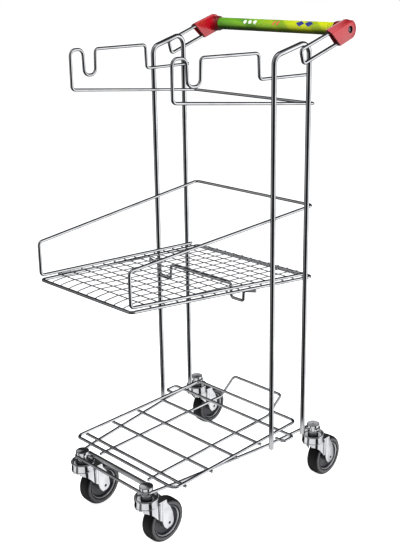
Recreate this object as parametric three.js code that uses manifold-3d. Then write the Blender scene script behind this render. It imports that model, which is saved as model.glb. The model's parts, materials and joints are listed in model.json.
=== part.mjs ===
// Two-tier shop trolley that carries hand baskets: bent wire tiers between two bent rod side
// frames, a low wire platform, a plastic-gripped push bar and four swivelling casters.
//
// Units are millimetres. +Z is up, the open loading end faces -Y, the push bar is at +Y.
// The origin is on the floor, under the middle of the trolley.

import * as THREE from 'three';
import { mergeVertices } from 'three/addons/utils/BufferGeometryUtils.js';
import Module from 'manifold-3d';

const wasm = await Module();
wasm.setup();

// ---------------------------------------------------------------- driving dimensions

const ROD_DIAMETER = 11.5;
const WIRE_DIAMETER = 7;
const LOOP_DIAMETER = 8;
const MESH_DIAMETER = 2.6;
const WELD_GAP = 0.3;
const ROD_SIDES = 8;
const WIRE_SIDES = 6;
const BEND_STEPS = 3;

const FRONT_POST = { x: 187, y: 68, top: 1043 };
const REAR_POST = { x: 195.5, y: 173.5, top: 1071 };
const POST_BOTTOM = 134;
const POST_BEND = 22;

const TIER_BEND = 9;
const RAIL_END = 182;

const TOP_TIER = {
  front: -192.3, hairpinRear: -157, notchFront: -155, notchRear: -123, railFront: -121,
  dropTop: 34, dropBottom: 36, back: 205,
  railHeight: 1051.2, hairpinHeight: 1052.8, notchHeight: 996.7, endRailHeight: 997.5,
  frontFloor: 969.4, backFloor: 932.2, uBend: 14,
};

const MIDDLE_TIER = { front: -307.5, back: 204, frontHeight: 658, backHeight: 700.3 };
const SHELF = { front: -307.3, back: 207.4, frontHeight: 573.5, slope: -0.0885, bend: 10 };

const MESH_FIRST_CROSS = -259;
const MESH_CROSS_PITCH = 33.5;
const MESH_CROSS_COUNT = 14;
const MESH_DEPTH_PITCH = 29.2;
const MESH_DEPTH_SIDE_COUNT = 4;
const MESH_WELD_OVERLAP = 0.3;

const HANGER = { y: 27, overhang: 2, outerX: 138.5, innerX: 98.5, shoulder: 528.5, dip: 504, bend: 6 };

const BASE_HEIGHT = 141;
const PLATFORM = { halfWidth: 168, front: -224.9, back: 180.9, bend: 14 };
const CROSS_FIRST = -194;
const CROSS_PITCH = 80.75;
const CROSS_HALF_LENGTH = 173;
const BUMPER = { x: 203, front: 95, bend: 7 };
const STOP = { halfWidth: 82, front: -225, foot: 178, back: 228, top: 180, bend: 9 };
const BASE_NECK = { x: 137.5, y: -190 };

const FRONT_CASTER = { x: 110.5, y: -253.8 };
const REAR_CASTER = { x: 203.3, y: 206.3 };
const SOCKET = { bore: 7, radius: 10.2, flange: 12.6, bottom: 128.6, top: 145.7 };
const CAP = { radius: 15.5, top: 152.4 };
const STEM = { radius: 6.6, pin: 5, nut: 9, race: 12.6 };

const WHEEL_RADIUS = 50;
const WHEEL_WIDTH = 32;
const WHEEL_TRAIL = 44;
const WHEEL_SIDES = 20;
const TYRE_BORE = 36;
const AXLE_RADIUS = 4;
const RUNNING_GAP = 0.5;
const HUB_HALF_LENGTH = 18.8;
const FORK_PLATE = 2.7;
const HEAD = { radius: 27, wall: 2.4, rim: 126, plateTop: 122, plateBottom: 119, skirt: 105 };

const PUSH_BAR = { y: 289, z: 1089.5, radius: 12.7, bore: 11.2, halfLength: 200.5 };
const SLEEVE = { radius: 14.5, halfLength: 177.5 };
const CLAMP = {
  inner: 197.5, outer: 218.5, rearRadius: 22, collarRadius: 18, collarStart: 178,
  mouthTop: [215, 1090.5], mouthBottom: [263, 1053.5], recessDepth: 4, bevel: 3,
};
const CLAMP_SCREW = { shank: 2.2, head: 5, start: 190, seat: 214.5, end: 218 };
const LOOP = {
  upperFront: [134, 1053.3], lowerFront: [143, 1023.5], upperEnd: 262, lowerEnd: 286,
  slope: 0.33, flare: 0.036, bend: 8,
};

// ---------------------------------------------------------------- materials

function material(color, roughness, metalness) {
  return new THREE.MeshStandardMaterial({ color, roughness, metalness });
}

const chrome = () => material(0xd9dbde, 0.12, 1);
const zinc = () => material(0xb9bcc0, 0.3, 1);
const redPlastic = () => material(0xd0283c, 0.35, 0);
const grip = () => material(0xa3c21c, 0.4, 0);
const blackPlastic = () => material(0x1c1c1e, 0.5, 0);
const rubber = () => material(0x2d2d30, 0.7, 0);
const hubPlastic = () => material(0x4b4c58, 0.45, 0);

// ---------------------------------------------------------------- helpers

const group = new THREE.Group();

function addPart(name, geometry, finish) {
  const mesh = new THREE.Mesh(geometry, finish());
  mesh.name = name;
  group.add(mesh);
  return mesh;
}

function v(x, y, z) {
  return new THREE.Vector3(x, y, z);
}

// A path of stations that an extruded section follows exactly, one ring per station.
class StationPath extends THREE.Curve {
  constructor(stations) {
    super();
    this.stations = stations;
  }

  getSpacedPoints() {
    return this.stations;
  }

  getTangentAt(u, target) {
    const last = this.stations.length - 1;
    const i = Math.round(u * last);
    const before = this.stations[Math.max(i - 1, 0)];
    const here = this.stations[i];
    const after = this.stations[Math.min(i + 1, last)];
    const arriving = here.clone().sub(before).normalize();
    const leaving = after.clone().sub(here).normalize();
    return target.copy(arriving).add(leaving).normalize();
  }
}

// Rounds each inner corner of a polyline; a corner may carry its own bend radius.
function roundCorners(corners, bend, steps = BEND_STEPS) {
  const stations = [corners[0]];
  for (let i = 1; i < corners.length - 1; i += 1) {
    const corner = corners[i];
    const back = corners[i - 1].clone().sub(corner);
    const ahead = corners[i + 1].clone().sub(corner);
    const room = Math.min(back.length(), ahead.length());
    back.normalize();
    ahead.normalize();
    const halfAngle = back.angleTo(ahead) / 2;
    const setback = Math.min((corner.bend ?? bend) / Math.tan(halfAngle), room * 0.49);
    const radius = setback * Math.tan(halfAngle);
    const bisector = back.clone().add(ahead).normalize();
    const centre = corner.clone().addScaledVector(bisector, radius / Math.sin(halfAngle));
    const start = corner.clone().addScaledVector(back, setback).sub(centre);
    const end = corner.clone().addScaledVector(ahead, setback).sub(centre);
    const sweep = start.angleTo(end);
    for (let k = 0; k <= steps; k += 1) {
      const t = k / steps;
      const from = Math.sin((1 - t) * sweep) / Math.sin(sweep);
      const to = Math.sin(t * sweep) / Math.sin(sweep);
      stations.push(centre.clone().addScaledVector(start, from).addScaledVector(end, to));
    }
  }
  stations.push(corners[corners.length - 1]);
  return stations;
}

function bent(point, bend) {
  point.bend = bend;
  return point;
}

// Sweeps a regular polygon whose corners lie on the wire's surface.
function sweep(stations, diameter, sides = WIRE_SIDES) {
  const corners = [];
  for (let i = 0; i < sides; i += 1) {
    const angle = ((i + 0.5) / sides) * Math.PI * 2;
    corners.push(new THREE.Vector2(Math.cos(angle), Math.sin(angle)).multiplyScalar(diameter / 2));
  }
  return new THREE.ExtrudeGeometry(new THREE.Shape(corners), {
    steps: stations.length - 1,
    extrudePath: new StationPath(stations),
  });
}

function wire(corners, bend = TIER_BEND, diameter = WIRE_DIAMETER) {
  return sweep(roundCorners(corners, bend), diameter);
}

function mirrored(points) {
  return points.map((p) => bent(v(-p.x, p.y, p.z), p.bend));
}

// A wire that is symmetrical about the YZ plane, given from its right-hand end to the middle.
function symmetricWire(rightHalf, bend, diameter) {
  return wire([...rightHalf, ...mirrored(rightHalf).reverse()], bend, diameter);
}

// Turns a profile of [radius, height] pairs about Z; it closes on itself or ends on the axis.
function turned(profile, sides) {
  const points = profile.map(([radius, height]) => new THREE.Vector2(radius, height));
  return new THREE.LatheGeometry(points, sides).rotateX(Math.PI / 2);
}

// Turns a profile of [radius, x] pairs about the X axis.
function turnedAboutX(profile, sides) {
  return turned(profile, sides).rotateY(Math.PI / 2);
}

function ring(inner, outer, low, high) {
  return [[inner, low], [outer, low], [outer, high], [inner, high], [inner, low]];
}

function solid(geometry) {
  const bare = geometry.clone();
  bare.deleteAttribute('normal');
  bare.deleteAttribute('uv');
  const merged = mergeVertices(bare, 1e-4);
  return new wasm.Manifold(new wasm.Mesh({
    numProp: 3,
    vertProperties: new Float32Array(merged.attributes.position.array),
    triVerts: new Uint32Array(merged.index.array),
  }));
}

function geometryOf(manifold) {
  const mesh = manifold.getMesh();
  const geometry = new THREE.BufferGeometry();
  geometry.setAttribute('position', new THREE.BufferAttribute(new Float32Array(mesh.vertProperties), 3));
  geometry.setIndex(new THREE.BufferAttribute(new Uint32Array(mesh.triVerts), 1));
  geometry.computeVertexNormals();
  return geometry;
}

function joined(geometries) {
  const solids = geometries.map(solid);
  return geometryOf(solids.reduce((whole, piece) => whole.add(piece)));
}

// Extrudes an outline of [y, z] points along X between two planes.
function plateAcrossX(outline, low, high, options = {}) {
  const shape = new THREE.Shape(outline.map(([y, z]) => new THREE.Vector2(y, z)));
  for (const [y, z, radius, sides] of options.holes ?? []) {
    const hole = new THREE.Path();
    for (let i = 0; i < sides; i += 1) {
      const angle = (i / sides) * Math.PI * 2;
      const point = [y + radius * Math.cos(angle), z + radius * Math.sin(angle)];
      if (i === 0) hole.moveTo(...point);
      else hole.lineTo(...point);
    }
    shape.holes.push(hole);
  }
  const bevel = options.bevel ?? 0;
  const geometry = new THREE.ExtrudeGeometry(shape, {
    depth: high - low - 2 * bevel,
    bevelEnabled: bevel > 0,
    bevelThickness: bevel,
    bevelSize: bevel,
    bevelOffset: -bevel,
    bevelSegments: 1,
  });
  const axes = new THREE.Matrix4().makeBasis(v(0, 1, 0), v(0, 0, 1), v(1, 0, 0));
  return geometry.applyMatrix4(axes).translate(low + bevel, 0, 0);
}

function arc(centre, radius, startDegrees, endDegrees, steps) {
  const points = [];
  for (let k = 0; k <= steps; k += 1) {
    const angle = THREE.MathUtils.degToRad(startDegrees + ((endDegrees - startDegrees) * k) / steps);
    points.push([centre[0] + radius * Math.cos(angle), centre[1] + radius * Math.sin(angle)]);
  }
  return points;
}

const SIDES = [['left', -1], ['right', 1]];

// ---------------------------------------------------------------- shared lines

// Every tier rail runs along one tapered line that touches the inner face of both posts.
const POST_TO_RAIL = (ROD_DIAMETER + WIRE_DIAMETER) / 2 + WELD_GAP;
const RAIL_TAPER = (REAR_POST.x - FRONT_POST.x) / (REAR_POST.y - FRONT_POST.y);

function railX(y) {
  return FRONT_POST.x - POST_TO_RAIL + RAIL_TAPER * (y - FRONT_POST.y);
}

function railPoint(y, z, bend) {
  return bent(v(railX(y), y, z), bend);
}

function shelfHeight(y, offset = 0) {
  return SHELF.frontHeight + SHELF.slope * (y - SHELF.front) + offset;
}

// ---------------------------------------------------------------- side frames and handle loops

function sideFrame(side) {
  const corners = [
    v(side * FRONT_POST.x, FRONT_POST.y, POST_BOTTOM),
    v(side * FRONT_POST.x, FRONT_POST.y, FRONT_POST.top),
    v(side * REAR_POST.x, REAR_POST.y, REAR_POST.top),
    v(side * REAR_POST.x, REAR_POST.y, POST_BOTTOM),
  ];
  return sweep(roundCorners(corners, POST_BEND, 4), ROD_DIAMETER, ROD_SIDES);
}

// The loop lies against the outer face of the side frame and reaches back into the clamp.
function loopX(y) {
  const touching = REAR_POST.x + (ROD_DIAMETER + LOOP_DIAMETER) / 2 + WELD_GAP;
  return touching + LOOP.flare * (y - REAR_POST.y);
}

function loopPoint(side, y, z) {
  return v(side * loopX(y), y, z);
}

function loopLegs(side) {
  const [upperY, upperZ] = LOOP.upperFront;
  const [lowerY, lowerZ] = LOOP.lowerFront;
  return {
    upperEnd: loopPoint(side, LOOP.upperEnd, upperZ + LOOP.slope * (LOOP.upperEnd - upperY)),
    upperFront: loopPoint(side, upperY, upperZ),
    lowerFront: loopPoint(side, lowerY, lowerZ),
    lowerEnd: loopPoint(side, LOOP.lowerEnd, lowerZ + LOOP.slope * (LOOP.lowerEnd - lowerY)),
  };
}

for (const [word, side] of SIDES) {
  const legs = loopLegs(side);
  addPart(`side_frame_${word}`, sideFrame(side), chrome);
  addPart(
    `handle_loop_${word}`,
    wire([legs.upperEnd, legs.upperFront, legs.lowerFront, legs.lowerEnd], LOOP.bend, LOOP_DIAMETER),
    chrome,
  );
}

// ---------------------------------------------------------------- push bar

function clampOutline() {
  const rear = arc([PUSH_BAR.y, PUSH_BAR.z], CLAMP.rearRadius, -60, 106, 8);
  return [CLAMP.mouthTop, CLAMP.mouthBottom, ...rear];
}

// A shallow pocket in the sloping mouth, between the two wire holes.
function mouthRecess() {
  const [topY, topZ] = CLAMP.mouthTop;
  const [bottomY, bottomZ] = CLAMP.mouthBottom;
  const along = (t) => [topY + (bottomY - topY) * t, topZ + (bottomZ - topZ) * t];
  const [y0, z0] = along(0.2);
  const [y1, z1] = along(0.78);
  const depth = CLAMP.recessDepth;
  const margin = 6;
  return plateAcrossX(
    [[y0 - 3, z0 - 4], [y1 - 3, z1 - 4], [y1 + depth, z1 + depth], [y0 + depth, z0 + depth]],
    CLAMP.inner + margin,
    CLAMP.outer - margin,
  );
}

function boreAlong(start, end, radius) {
  const length = start.distanceTo(end);
  const bore = new THREE.CylinderGeometry(radius, radius, length, 10).translate(0, length / 2, 0);
  const turn = new THREE.Quaternion().setFromUnitVectors(v(0, 1, 0), end.clone().sub(start).normalize());
  return bore.applyQuaternion(turn).translate(start.x, start.y, start.z);
}

function cylinderOnBar(radius, low, high, sides) {
  return turnedAboutX([[0, low], [radius, low], [radius, high], [0, high]], sides)
    .translate(0, PUSH_BAR.y, PUSH_BAR.z);
}

function clamp(side) {
  const legs = loopLegs(1);
  const cheek = plateAcrossX(clampOutline(), CLAMP.inner, CLAMP.outer, { bevel: CLAMP.bevel });
  const collar = cylinderOnBar(CLAMP.collarRadius, CLAMP.collarStart, CLAMP.inner + CLAMP.bevel + 1, 20);
  const wireHole = LOOP_DIAMETER / 2 + WELD_GAP;
  const pastEnd = v(0, 1, LOOP.slope);
  const outside = CLAMP.outer + 5;
  const cuts = [
    cylinderOnBar(PUSH_BAR.radius + WELD_GAP, CLAMP.collarStart - 5, PUSH_BAR.halfLength + WELD_GAP, 20),
    cylinderOnBar(CLAMP_SCREW.shank + WELD_GAP, CLAMP_SCREW.start, outside, 10),
    cylinderOnBar(CLAMP_SCREW.head + 1, CLAMP_SCREW.seat, outside, 14),
    boreAlong(legs.upperFront, legs.upperEnd.clone().add(pastEnd), wireHole),
    boreAlong(legs.lowerFront, legs.lowerEnd.clone().add(pastEnd), wireHole),
    mouthRecess(),
  ];
  const blank = solid(cheek).add(solid(collar));
  const body = cuts.reduce((left, cut) => left.subtract(solid(cut)), blank);
  return geometryOf(side > 0 ? body : body.mirror([1, 0, 0]));
}

function onBarAxis(geometry, side) {
  const facing = side > 0 ? geometry : geometry.rotateZ(Math.PI);
  return facing.translate(0, PUSH_BAR.y, PUSH_BAR.z);
}

addPart(
  'handle_tube',
  onBarAxis(turnedAboutX(
    ring(PUSH_BAR.bore, PUSH_BAR.radius, -PUSH_BAR.halfLength, PUSH_BAR.halfLength),
    20,
  ), 1),
  chrome,
);
addPart(
  'handle_grip_sleeve',
  onBarAxis(turnedAboutX(
    ring(PUSH_BAR.radius + WELD_GAP, SLEEVE.radius, -SLEEVE.halfLength, SLEEVE.halfLength),
    20,
  ), 1),
  grip,
);

for (const [word, side] of SIDES) {
  const { shank, head, start, seat, end } = CLAMP_SCREW;
  const plugEnd = PUSH_BAR.halfLength - WELD_GAP;
  const plug = turnedAboutX(ring(shank + WELD_GAP, PUSH_BAR.bore - WELD_GAP, start - 4, plugEnd), 12);
  const underHead = seat + WELD_GAP;
  const screw = turnedAboutX([
    [0, start], [shank, start + 1], [shank, underHead], [head, underHead], [head, end - 1.5],
    [head - 1, end], [0, end],
  ], 10);
  addPart(`handle_clamp_${word}`, clamp(side), redPlastic);
  addPart(`handle_tube_plug_${word}`, onBarAxis(plug, side), blackPlastic);
  addPart(`handle_screw_${word}`, onBarAxis(screw, side), zinc);
}

// ---------------------------------------------------------------- top tier

function topTier() {
  const t = TOP_TIER;
  return symmetricWire([
    railPoint(RAIL_END, t.endRailHeight),
    railPoint(t.dropBottom, t.endRailHeight),
    railPoint(t.dropTop, t.railHeight),
    railPoint(t.railFront, t.railHeight),
    railPoint(t.notchRear, t.notchHeight, t.uBend),
    railPoint(t.notchFront, t.notchHeight, t.uBend),
    railPoint(t.hairpinRear, t.hairpinHeight, t.uBend),
    railPoint(t.front, t.hairpinHeight, t.uBend),
    railPoint(t.front, t.frontFloor),
    railPoint(t.back, t.backFloor),
  ]);
}

addPart('top_tier_wire', topTier(), chrome);

// ---------------------------------------------------------------- middle tier

const MESH_OFFSET = WIRE_DIAMETER / 2 + MESH_DIAMETER / 2 + WELD_GAP;
const LOWER_RAIL_OFFSET = WIRE_DIAMETER + MESH_DIAMETER + 2 * WELD_GAP;

function middleTier() {
  const m = MIDDLE_TIER;
  return symmetricWire([
    railPoint(RAIL_END, shelfHeight(RAIL_END, LOWER_RAIL_OFFSET)),
    railPoint(m.front, shelfHeight(m.front, LOWER_RAIL_OFFSET)),
    railPoint(m.front, m.frontHeight),
    railPoint(m.back, m.backHeight),
  ]);
}

// The frame is one wire whose two ends butt together in the middle of the back bar.
function shelfFrame() {
  const back = v(WELD_GAP / 2, SHELF.back, shelfHeight(SHELF.back));
  const rightHalf = [
    railPoint(SHELF.back, shelfHeight(SHELF.back)),
    railPoint(SHELF.front, shelfHeight(SHELF.front)),
  ];
  const leftHalf = mirrored(rightHalf).reverse();
  return wire([back, ...rightHalf, ...leftHalf, v(-back.x, back.y, back.z)], SHELF.bend);
}

function meshWire(points) {
  return sweep(points, MESH_DIAMETER * Math.SQRT2, 4);
}

function meshCrossWire(y) {
  const halfLength = railX(y) + WIRE_DIAMETER / 2;
  const z = shelfHeight(y, MESH_OFFSET);
  return meshWire([v(-halfLength, y, z), v(halfLength, y, z)]);
}

// Each depth wire lies on the cross wires; its front end bends down behind the front bar.
function meshDepthWire(x, fromFrontBar) {
  const onTop = MESH_OFFSET + MESH_DIAMETER - MESH_WELD_OVERLAP;
  const firstFlat = MESH_FIRST_CROSS - 4;
  const lastFlat = MESH_FIRST_CROSS + (MESH_CROSS_COUNT - 1) * MESH_CROSS_PITCH + 4;
  const points = [
    v(x, firstFlat, shelfHeight(firstFlat, onTop)),
    v(x, lastFlat, shelfHeight(lastFlat, onTop)),
    v(x, SHELF.back, shelfHeight(SHELF.back, MESH_OFFSET + 0.4)),
  ];
  if (fromFrontBar) points.unshift(v(x, SHELF.front + 6, shelfHeight(SHELF.front + 6, 1.5)));
  return meshWire(points);
}

function shelfMesh() {
  const wires = [];
  for (let k = 0; k < MESH_CROSS_COUNT; k += 1) {
    wires.push(meshCrossWire(MESH_FIRST_CROSS + k * MESH_CROSS_PITCH));
  }
  const outermost = MESH_DEPTH_SIDE_COUNT + 1;
  for (let i = -outermost; i <= outermost; i += 1) {
    wires.push(meshDepthWire(i * MESH_DEPTH_PITCH, Math.abs(i) <= MESH_DEPTH_SIDE_COUNT));
  }
  return joined(wires);
}

// Two dips under the shelf take carrier bags; the outer ends are welded under the side rails.
function hangerWire() {
  const { y, overhang, outerX, innerX, shoulder, dip, bend } = HANGER;
  const z = shelfHeight(y) - WIRE_DIAMETER - WELD_GAP;
  const splay = 2;
  return symmetricWire([
    v(railX(y) + overhang, y, z),
    v(outerX, y, shoulder),
    v(outerX - splay, y, dip),
    v(innerX + splay, y, dip),
    v(innerX, y, z),
  ], bend, WIRE_DIAMETER);
}

addPart('middle_tier_wire', middleTier(), chrome);
addPart('shelf_frame', shelfFrame(), chrome);
addPart('shelf_mesh', shelfMesh(), chrome);
addPart('bag_hanger_wire', hangerWire(), chrome);

// ---------------------------------------------------------------- base and platform

const WRAP_RADIUS = SOCKET.radius + WIRE_DIAMETER / 2 + WELD_GAP;
const CROSS_HEIGHT = BASE_HEIGHT + WIRE_DIAMETER + WELD_GAP;
const PLATFORM_HEIGHT = CROSS_HEIGHT + WIRE_DIAMETER + WELD_GAP;

function wrap(caster, startDegrees, endDegrees, steps) {
  return arc([caster.x, caster.y], WRAP_RADIUS, startDegrees, endDegrees, steps)
    .map(([x, y]) => v(x, y, BASE_HEIGHT));
}

// One wire hooks round the back of each rear socket, runs forward and wraps the front sockets.
function baseWire() {
  const rightHalf = [
    v(REAR_CASTER.x + WRAP_RADIUS, REAR_CASTER.y - 10, BASE_HEIGHT),
    ...wrap(REAR_CASTER, 0, 180, 6),
    v(railX(REAR_POST.y), REAR_POST.y, BASE_HEIGHT),
    v(railX(FRONT_POST.y), FRONT_POST.y, BASE_HEIGHT),
    v(BASE_NECK.x, BASE_NECK.y, BASE_HEIGHT),
    ...wrap(FRONT_CASTER, 8, -90, 4),
  ];
  return sweep([...rightHalf, ...mirrored(rightHalf).reverse()], WIRE_DIAMETER);
}

function baseFrontRod() {
  const reach = SOCKET.radius + ROD_DIAMETER / 2 + WELD_GAP;
  const halfLength = FRONT_CASTER.x - 3;
  const y = FRONT_CASTER.y + reach;
  const z = SOCKET.top - ROD_DIAMETER / 2 - WELD_GAP;
  return sweep([v(-halfLength, y, z), v(halfLength, y, z)], ROD_DIAMETER, ROD_SIDES);
}

function platformFrame() {
  const p = PLATFORM;
  return wire([
    v(WELD_GAP / 2, p.back, PLATFORM_HEIGHT),
    v(p.halfWidth, p.back, PLATFORM_HEIGHT),
    v(p.halfWidth, p.front, PLATFORM_HEIGHT),
    v(-p.halfWidth, p.front, PLATFORM_HEIGHT),
    v(-p.halfWidth, p.back, PLATFORM_HEIGHT),
    v(-WELD_GAP / 2, p.back, PLATFORM_HEIGHT),
  ], p.bend);
}

function crossWire(y) {
  return wire([v(-CROSS_HALF_LENGTH, y, CROSS_HEIGHT), v(CROSS_HALF_LENGTH, y, CROSS_HEIGHT)]);
}

// The rearmost cross wire runs on past the posts and turns forward as a bumper on each side.
function bumperCrossWire(y) {
  return symmetricWire([
    v(railX(BUMPER.front) - 2, BUMPER.front, CROSS_HEIGHT),
    v(BUMPER.x, BUMPER.front, CROSS_HEIGHT),
    v(BUMPER.x, y, CROSS_HEIGHT),
  ], BUMPER.bend, WIRE_DIAMETER);
}

// A long U under the cross wires rises behind the platform as the stop for a load.
function stopWire() {
  return symmetricWire([
    v(STOP.halfWidth, STOP.front, BASE_HEIGHT),
    v(STOP.halfWidth, STOP.foot, BASE_HEIGHT),
    v(STOP.halfWidth, STOP.back, STOP.top),
  ], STOP.bend, WIRE_DIAMETER);
}

addPart('base_wire', baseWire(), chrome);
addPart('base_front_rod', baseFrontRod(), chrome);
addPart('platform_frame', platformFrame(), chrome);
for (let k = 0; k < 4; k += 1) {
  addPart(`platform_cross_wire_${k + 1}`, crossWire(CROSS_FIRST + k * CROSS_PITCH), chrome);
}
addPart('platform_bumper_wire', bumperCrossWire(CROSS_FIRST + 4 * CROSS_PITCH), chrome);
addPart('platform_stop_wire', stopWire(), chrome);

// ---------------------------------------------------------------- casters

// Each caster is drawn with its swivel axis on Z and its wheel trailing behind.

function socket() {
  const { bore, radius, flange, bottom, top } = SOCKET;
  return turned([
    [bore, bottom], [flange, bottom], [flange, bottom + 3], [radius, bottom + 5],
    [radius, top], [bore, top], [bore, bottom],
  ], 12);
}

function cap() {
  const low = SOCKET.top + WELD_GAP;
  const { radius, top } = CAP;
  return turned([[0, low], [radius, low], [radius, top - 1.4], [radius - 1.3, top], [0, top]], 16);
}

// The stem stands in the socket, carries the upper race and passes down through the fork head.
function stem() {
  const { radius, pin, nut, race } = STEM;
  const nutTop = HEAD.plateBottom - RUNNING_GAP;
  const raceBottom = HEAD.plateTop + RUNNING_GAP;
  const raceTop = SOCKET.bottom - WELD_GAP;
  return turned([
    [0, nutTop - 6], [nut, nutTop - 6], [nut, nutTop], [pin, nutTop], [pin, raceBottom],
    [race, raceBottom], [race, raceTop], [radius, raceTop], [radius, SOCKET.top], [0, SOCKET.top],
  ], 10);
}

function forkHead() {
  const { radius, wall, rim, plateTop, plateBottom, skirt } = HEAD;
  const bore = STEM.pin + RUNNING_GAP;
  return turned([
    [bore, plateBottom], [radius - wall, plateBottom], [radius - wall, skirt], [radius, skirt], [radius, rim],
    [radius - wall, rim], [radius - 5, plateTop], [bore, plateTop], [bore, plateBottom],
  ], 18);
}

function forkLegOutline() {
  const tip = arc([WHEEL_TRAIL, WHEEL_RADIUS], 14, 215, 368, 5);
  const underPlate = HEAD.plateTop - 1.5;
  return [
    [4, underPlate], [4, HEAD.skirt], [12, 87], [24.5, 80], [24.5, 57],
    ...tip,
    [51, 79], [41, 98], [37, 109], [32, 117.5], [24, underPlate],
  ];
}

const FORK_INNER = HUB_HALF_LENGTH + RUNNING_GAP;

function fork() {
  const leg = (low) => plateAcrossX(forkLegOutline(), low, low + FORK_PLATE, {
    holes: [[WHEEL_TRAIL, WHEEL_RADIUS, AXLE_RADIUS + RUNNING_GAP, 10]],
  });
  const bridge = [[20, 121.5], [20, 118], [30, 114], [34.5, 104], [37, 105], [32, 117.5], [25, 121.5]];
  return joined([
    forkHead(),
    leg(FORK_INNER),
    leg(-FORK_INNER - FORK_PLATE),
    plateAcrossX(bridge, -FORK_INNER - 1, FORK_INNER + 1),
  ]);
}

function axle() {
  const head = FORK_INNER + FORK_PLATE + WELD_GAP;
  const rivet = AXLE_RADIUS + 1.2;
  return turnedAboutX([
    [0, -head - 1.6], [rivet, -head - 1.2], [rivet, -head], [AXLE_RADIUS, -head],
    [AXLE_RADIUS, head], [rivet, head], [rivet, head + 1.2], [0, head + 1.6],
  ], 10);
}

// A flat of the tread faces the floor, so the corner radius is larger than the rolling radius.
const TREAD_CORNER = WHEEL_RADIUS / Math.cos(Math.PI / WHEEL_SIDES);

function tyre() {
  const half = WHEEL_WIDTH / 2;
  return turnedAboutX([
    [TYRE_BORE, -13.5], [37.5, -half], [44.5, -half], [TREAD_CORNER, -11], [TREAD_CORNER, 11],
    [44.5, half], [37.5, half], [TYRE_BORE, 13.5], [TYRE_BORE, -13.5],
  ], WHEEL_SIDES).rotateX(Math.PI / WHEEL_SIDES);
}

function hub() {
  const rim = TYRE_BORE - RUNNING_GAP;
  const bore = AXLE_RADIUS + RUNNING_GAP;
  const half = HUB_HALF_LENGTH;
  return turnedAboutX([
    [bore, -half], [10, -half], [12, -12], [29, -9], [33, -13.5], [rim, -13.5],
    [rim, 13.5], [33, 13.5], [29, 9], [12, 12], [10, half], [bore, half], [bore, -half],
  ], WHEEL_SIDES).rotateX(Math.PI / WHEEL_SIDES);
}

const CASTERS = [
  ['front_left', -FRONT_CASTER.x, FRONT_CASTER.y],
  ['front_right', FRONT_CASTER.x, FRONT_CASTER.y],
  ['rear_left', -REAR_CASTER.x, REAR_CASTER.y],
  ['rear_right', REAR_CASTER.x, REAR_CASTER.y],
];

for (const [word, x, y] of CASTERS) {
  const pieces = [
    ['socket', socket(), chrome, 0, 0],
    ['cap', cap(), chrome, 0, 0],
    ['stem', stem(), zinc, 0, 0],
    ['fork', fork(), chrome, 0, 0],
    ['axle', axle(), zinc, WHEEL_TRAIL, WHEEL_RADIUS],
    ['tyre', tyre(), rubber, WHEEL_TRAIL, WHEEL_RADIUS],
    ['hub', hub(), hubPlastic, WHEEL_TRAIL, WHEEL_RADIUS],
  ];
  for (const [piece, geometry, finish, behind, above] of pieces) {
    addPart(`caster_${piece}_${word}`, geometry, finish).position.set(x, y + behind, above);
  }
}

export default group;
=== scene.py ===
"""A shop trolley for hand baskets: chrome wire tiers, a push bar in plastic clamps and swivel casters.

Units are metres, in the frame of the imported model. Round wires follow the centre lines of the
frame's own wires, and turned and pressed pieces take their places from the frame's boxes.
"""
import json
import math
from contextlib import contextmanager

import bmesh
import bpy
from mathutils import Matrix, Vector

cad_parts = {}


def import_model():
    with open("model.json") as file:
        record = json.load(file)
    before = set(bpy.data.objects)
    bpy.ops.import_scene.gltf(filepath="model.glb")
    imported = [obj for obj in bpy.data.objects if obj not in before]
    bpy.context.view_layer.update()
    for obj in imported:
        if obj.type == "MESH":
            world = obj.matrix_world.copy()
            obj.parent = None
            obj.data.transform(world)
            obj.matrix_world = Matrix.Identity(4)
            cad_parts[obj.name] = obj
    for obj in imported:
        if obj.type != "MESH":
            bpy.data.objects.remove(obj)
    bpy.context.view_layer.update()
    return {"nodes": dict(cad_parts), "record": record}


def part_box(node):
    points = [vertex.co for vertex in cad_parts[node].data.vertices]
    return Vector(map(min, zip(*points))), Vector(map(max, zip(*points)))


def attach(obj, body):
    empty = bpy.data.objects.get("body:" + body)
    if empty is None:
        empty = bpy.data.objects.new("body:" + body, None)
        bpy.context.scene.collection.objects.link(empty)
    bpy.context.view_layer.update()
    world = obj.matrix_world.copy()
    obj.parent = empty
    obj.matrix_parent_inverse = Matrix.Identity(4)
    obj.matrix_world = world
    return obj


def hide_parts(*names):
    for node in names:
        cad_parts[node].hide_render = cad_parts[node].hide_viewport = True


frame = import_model()

MM = 0.001

# -------- driving dimensions

WIRE_DIAMETER = 7 * MM
LOOP_DIAMETER = 8 * MM
ROD_DIAMETER = 11.5 * MM
MESH_DIAMETER = 2.6 * MM

TUBE_SIDES = 20
MESH_WIRE_SIDES = 10
ARC_STEP = math.radians(6)
EDGE_STEPS = 3
WIRE_CHAMFER = 0.8 * MM
MESH_WIRE_CHAMFER = 0.3 * MM
LATHE_SEGMENTS = 72
FINE_SEGMENTS = 96
SHARP_ANGLE = math.radians(40)
TOUCHING = 0.0001 * MM
SLIVER = 0.001 * MM

MESH_FIRST_CROSS = -259 * MM
MESH_CROSS_PITCH = 33.5 * MM
MESH_CROSS_COUNT = 14
MESH_DEPTH_PITCH = 29.2 * MM
MESH_DEPTH_SIDE_COUNT = 4

TUBE_LOW, TUBE_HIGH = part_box("handle_tube")
BAR_CENTRE = (TUBE_LOW + TUBE_HIGH) / 2
BAR_HALF_LENGTH = TUBE_HIGH.x
BAR_RADIUS = 12.7 * MM
SLEEVE_RADIUS = 14.5 * MM
SLEEVE_HALF_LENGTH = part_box("handle_grip_sleeve")[1].x

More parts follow.
